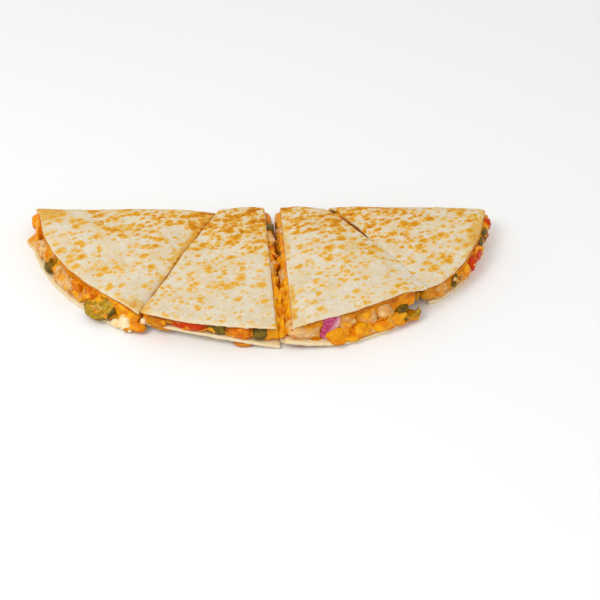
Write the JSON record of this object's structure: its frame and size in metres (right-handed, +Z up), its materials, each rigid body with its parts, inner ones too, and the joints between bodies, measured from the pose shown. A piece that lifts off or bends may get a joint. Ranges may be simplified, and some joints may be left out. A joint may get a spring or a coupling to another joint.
{
  "type": "quesadilla",
  "caption": "Folded flour-tortilla quesadilla cut into wedges, filled with melted cheese, chicken, tomato, pepper and red onion.",
  "frame": {"origin": "on the table, under the middle of the half moon's bounding box", "axes": "+X along the fold to the viewer's right, +Y from the open rim to the fold, +Z up"},
  "size_m": [0.307, 0.1374, 0.0244],
  "materials": {
    "tortilla": "matte, floury, with toasted brown spots",
    "cheese": "glossy, melted",
    "chicken": "moist, fibrous",
    "tomato": "wet",
    "pepper": "wet",
    "red_onion": "wet",
    "cream_cheese": "soft, satin"
  },
  "bodies": {
    "root": {"cheese_1": "cheese", "cheese_2": "cheese", "cheese_3": "cheese", "cheese_4": "cheese", "cheese_lump_3d": "cheese", "cheese_lump_3f": "cheese", "cheese_lump_3i": "cheese", "chicken_1a": "chicken", "chicken_1c": "chicken", "chicken_2f": "chicken", "chicken_2h": "chicken", "chicken_3a": "chicken", "chicken_3c": "chicken", "chicken_3e": "chicken", "chicken_3g": "chicken", "chicken_3k": "chicken", "chicken_3l": "chicken", "chicken_4a": "chicken", "chicken_4c": "chicken", "onion_3b": "red_onion", "pepper_1b": "pepper", "pepper_2b": "pepper", "pepper_2d": "pepper", "pepper_2e": "pepper", "pepper_3h": "pepper", "pepper_4b": "pepper", "pepper_4f": "pepper", "pepper_4g": "pepper", "pepper_ring_3j": "pepper", "pepper_slice_1f": "pepper", "tomato_1d": "tomato", "tomato_1e": "tomato", "tomato_2a": "tomato", "tomato_2c": "tomato", "tomato_2g": "tomato", "tomato_4d": "tomato", "tomato_4e": "tomato", "tomato_4h": "tomato", "tortilla_1": "tortilla", "tortilla_2": "tortilla", "tortilla_3": "tortilla", "tortilla_4": "tortilla", "white_cheese_1g": "cream_cheese"}
  },
  "joints": []
}
